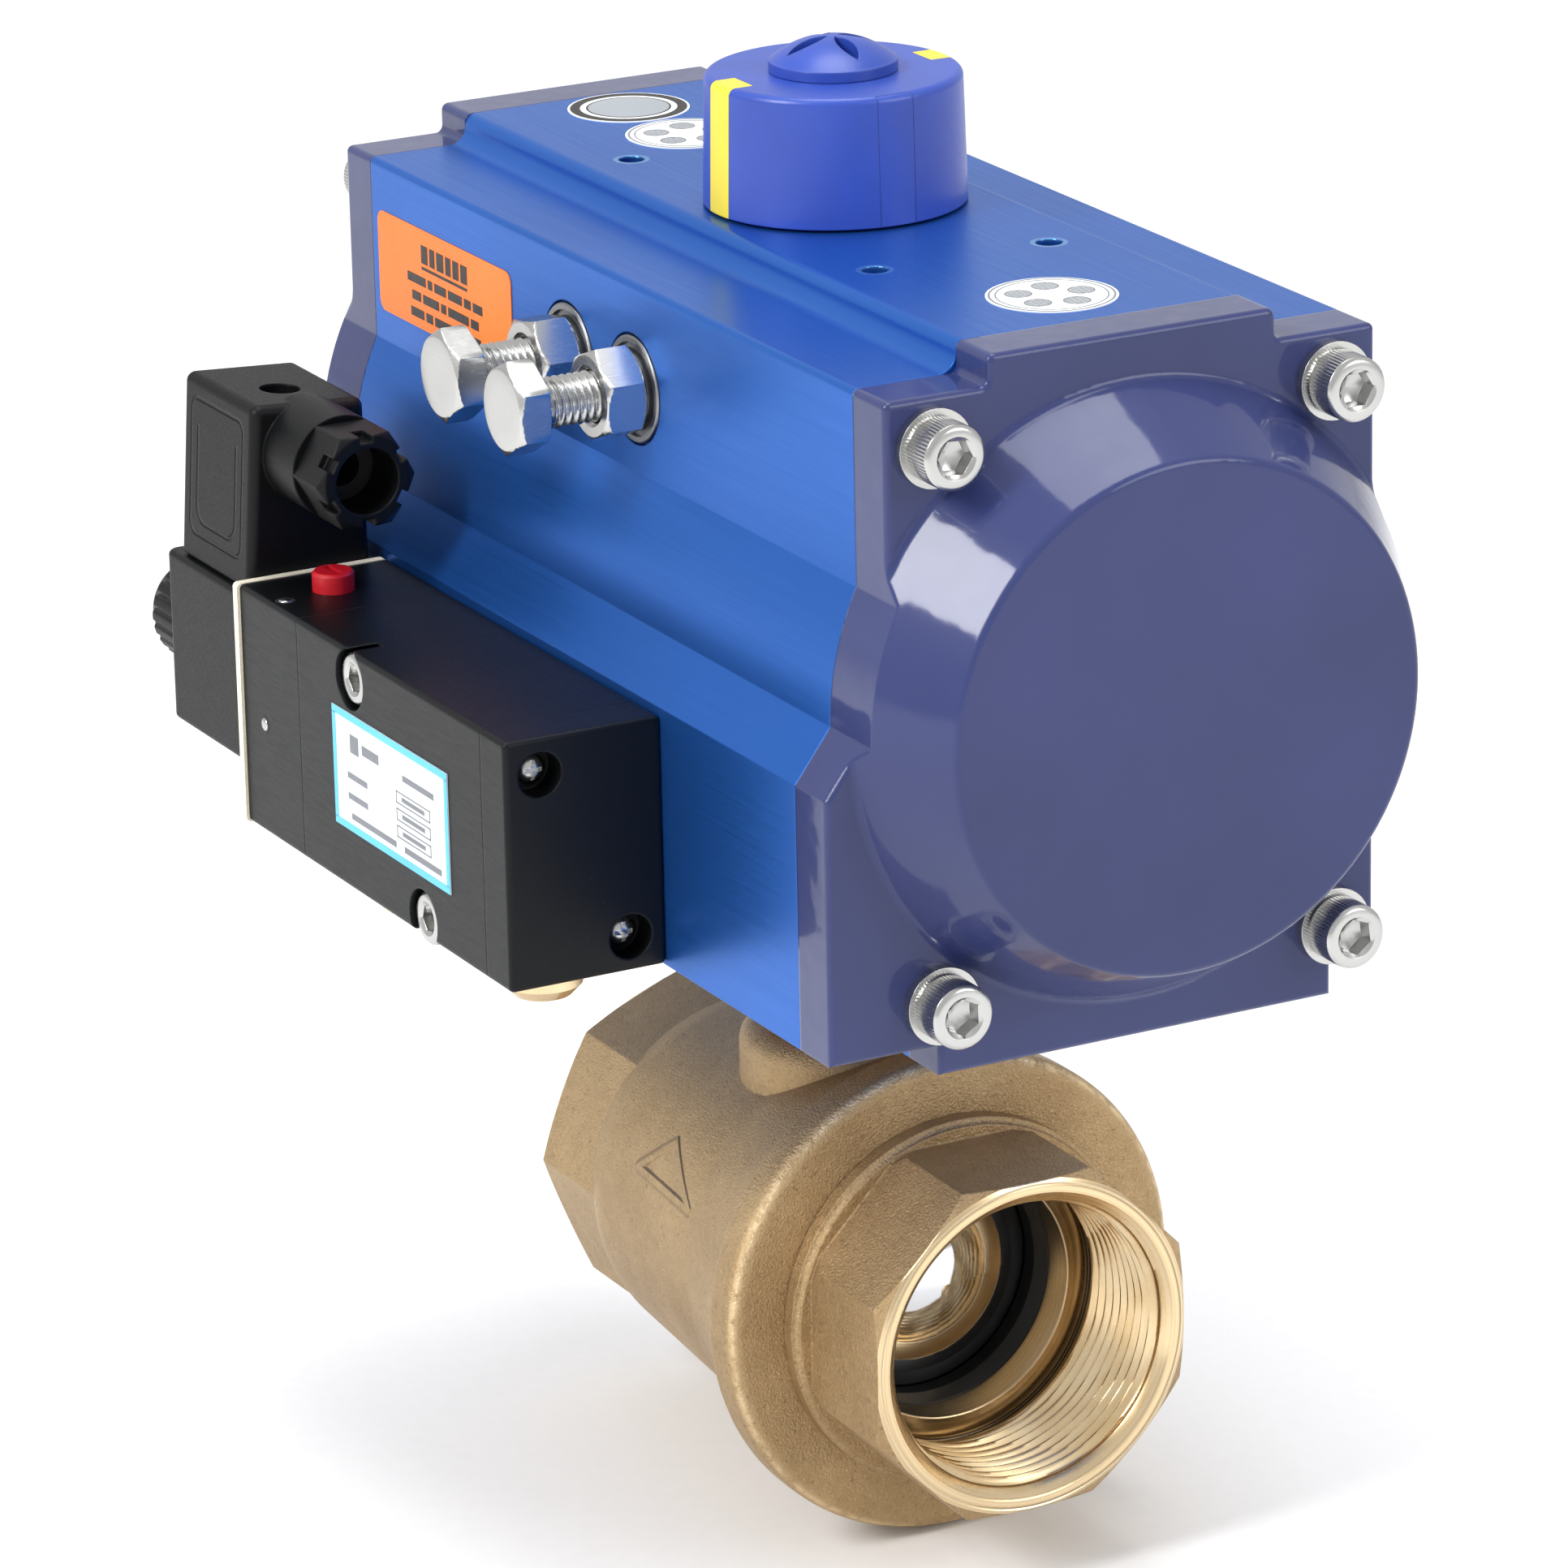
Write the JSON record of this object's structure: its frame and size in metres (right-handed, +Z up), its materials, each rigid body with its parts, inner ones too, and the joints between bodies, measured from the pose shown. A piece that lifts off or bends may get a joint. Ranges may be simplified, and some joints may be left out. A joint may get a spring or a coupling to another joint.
{
  "type": "pneumatic actuated ball valve",
  "caption": "Threaded bronze ball valve turned by a blue spring-return rack and pinion actuator with a solenoid pilot valve and a position indicator.",
  "frame": {"origin": "on the pipe axis, at the start of the front port's thread, 1.5 mm inside the mouth", "axes": "+X out of the front pipe port; -Y towards the solenoid valve's side; +Z up the stem, towards the position indicator"},
  "size_m": [0.2132, 0.1248, 0.2367],
  "materials": {
    "anodised_blue": "satin blue anodised aluminium",
    "cap_paint": "gloss deep navy powder paint on die-cast aluminium",
    "indicator_blue": "royal blue moulded plastic",
    "indicator_yellow": "yellow moulded plastic",
    "stainless": "turned and rolled stainless steel",
    "steel_dark": "zinc-plated steel",
    "piston_alloy": "die-cast aluminium",
    "bearing_plastic": "white bearing plastic",
    "rubber_black": "black nitrile rubber",
    "spring_steel": "coated spring steel",
    "block_black": "black anodised aluminium",
    "coil_black": "black moulded plastic with a fine grain",
    "gasket_cream": "cream sealing gasket",
    "button_red": "red moulded plastic",
    "brass_bright": "turned brass",
    "bronze_cast": "sand-cast bronze, fine grain",
    "chrome_ball": "polished hard chrome",
    "seat_black": "black carbon-filled seat plastic",
    "label_orange": "fluorescent orange vinyl",
    "label_pale": "pale vinyl with a printed border"
  },
  "bodies": {
    "housing": {"actuator_body": "anodised_blue", "armature_tube": "stainless", "ball_valve_body": "bronze_cast", "body_seal": "seat_black", "cap_screws_back": "stainless", "cap_screws_front": "stainless", "cap_seals": "rubber_black", "cap_washers": "stainless", "caution_label": "label_orange", "coil_gasket": "gasket_cream", "coil_housing": "coil_black", "coil_nut": "coil_black", "cover_screws": "stainless", "deck_labels": "label_pale", "end_cap_back": "cap_paint", "end_cap_front": "cap_paint", "end_connector": "bronze_cast", "end_cover": "block_black", "gland_bush": "rubber_black", "gland_nut": "coil_black", "info_label": "label_pale", "main_block": "block_black", "mounting_screws": "stainless", "namur_screws": "stainless", "packing_nut": "brass_bright", "pilot_block": "block_black", "pinion_bushes": "bearing_plastic", "pinion_seals": "rubber_black", "plug_gasket": "rubber_black", "plug_housing": "coil_black", "plug_screw": "steel_dark", "port_rings": "rubber_black", "return_spring_back": "spring_steel", "return_spring_front": "spring_steel", "seats": "seat_black", "silencers": "brass_bright", "spool_spring": "spring_steel", "stem_packing": "bearing_plastic", "stop_bolts": "stainless", "stop_nuts": "stainless", "stop_washers": "steel_dark"},
    "rotor": {"pinion": "steel_dark", "stop_cam": "steel_dark", "snap_ring": "stainless", "thrust_washer": "bearing_plastic", "indicator_body": "indicator_blue", "indicator_stripes": "indicator_yellow", "indicator_panels": "indicator_blue", "indicator_knob": "indicator_blue", "stem": "brass_bright", "ball": "chrome_ball"},
    "piston_front": {"piston_front": "piston_alloy", "piston_band_front": "bearing_plastic", "piston_seal_front": "rubber_black"},
    "piston_back": {"piston_back": "piston_alloy", "piston_band_back": "bearing_plastic", "piston_seal_back": "rubber_black"},
    "spool": {"spool": "piston_alloy"},
    "plunger": {"plunger": "steel_dark"},
    "manual_button": {"manual_button": "button_red"}
  },
  "joints": [
    {"name": "valve_turn", "type": "hinge", "parent": "housing", "child": "rotor", "pos_m": [-0.0563, 0, 0], "axis": [0, 0, 1], "range_deg": [0, 90], "stiffness_Nm_per_rad": 8, "springref_deg": -57.3},
    {"name": "piston_front_slide", "type": "slide", "parent": "housing", "child": "piston_front", "axis": [1, 0, 0], "range_m": [0, 0.022], "deforming": ["return_spring_front"]},
    {"name": "piston_back_slide", "type": "slide", "parent": "housing", "child": "piston_back", "axis": [-1, 0, 0], "range_m": [0, 0.022], "deforming": ["return_spring_back"]},
    {"name": "spool_slide", "type": "slide", "parent": "housing", "child": "spool", "axis": [1, 0, 0], "range_m": [0, 0.004], "stiffness_N_per_m": 600, "deforming": ["spool_spring"]},
    {"name": "plunger_slide", "type": "slide", "parent": "housing", "child": "plunger", "axis": [-1, 0, 0], "range_m": [0, 0.0015], "stiffness_N_per_m": 300},
    {"name": "button_press", "type": "slide", "parent": "housing", "child": "manual_button", "axis": [0, 0, -1], "range_m": [0, 0.0022], "stiffness_N_per_m": 400}
  ],
  "couplings": [
    {"joint": "piston_front_slide", "follows": "valve_turn", "m_per_rad": 0.014},
    {"joint": "piston_back_slide", "follows": "valve_turn", "m_per_rad": 0.014}
  ]
}
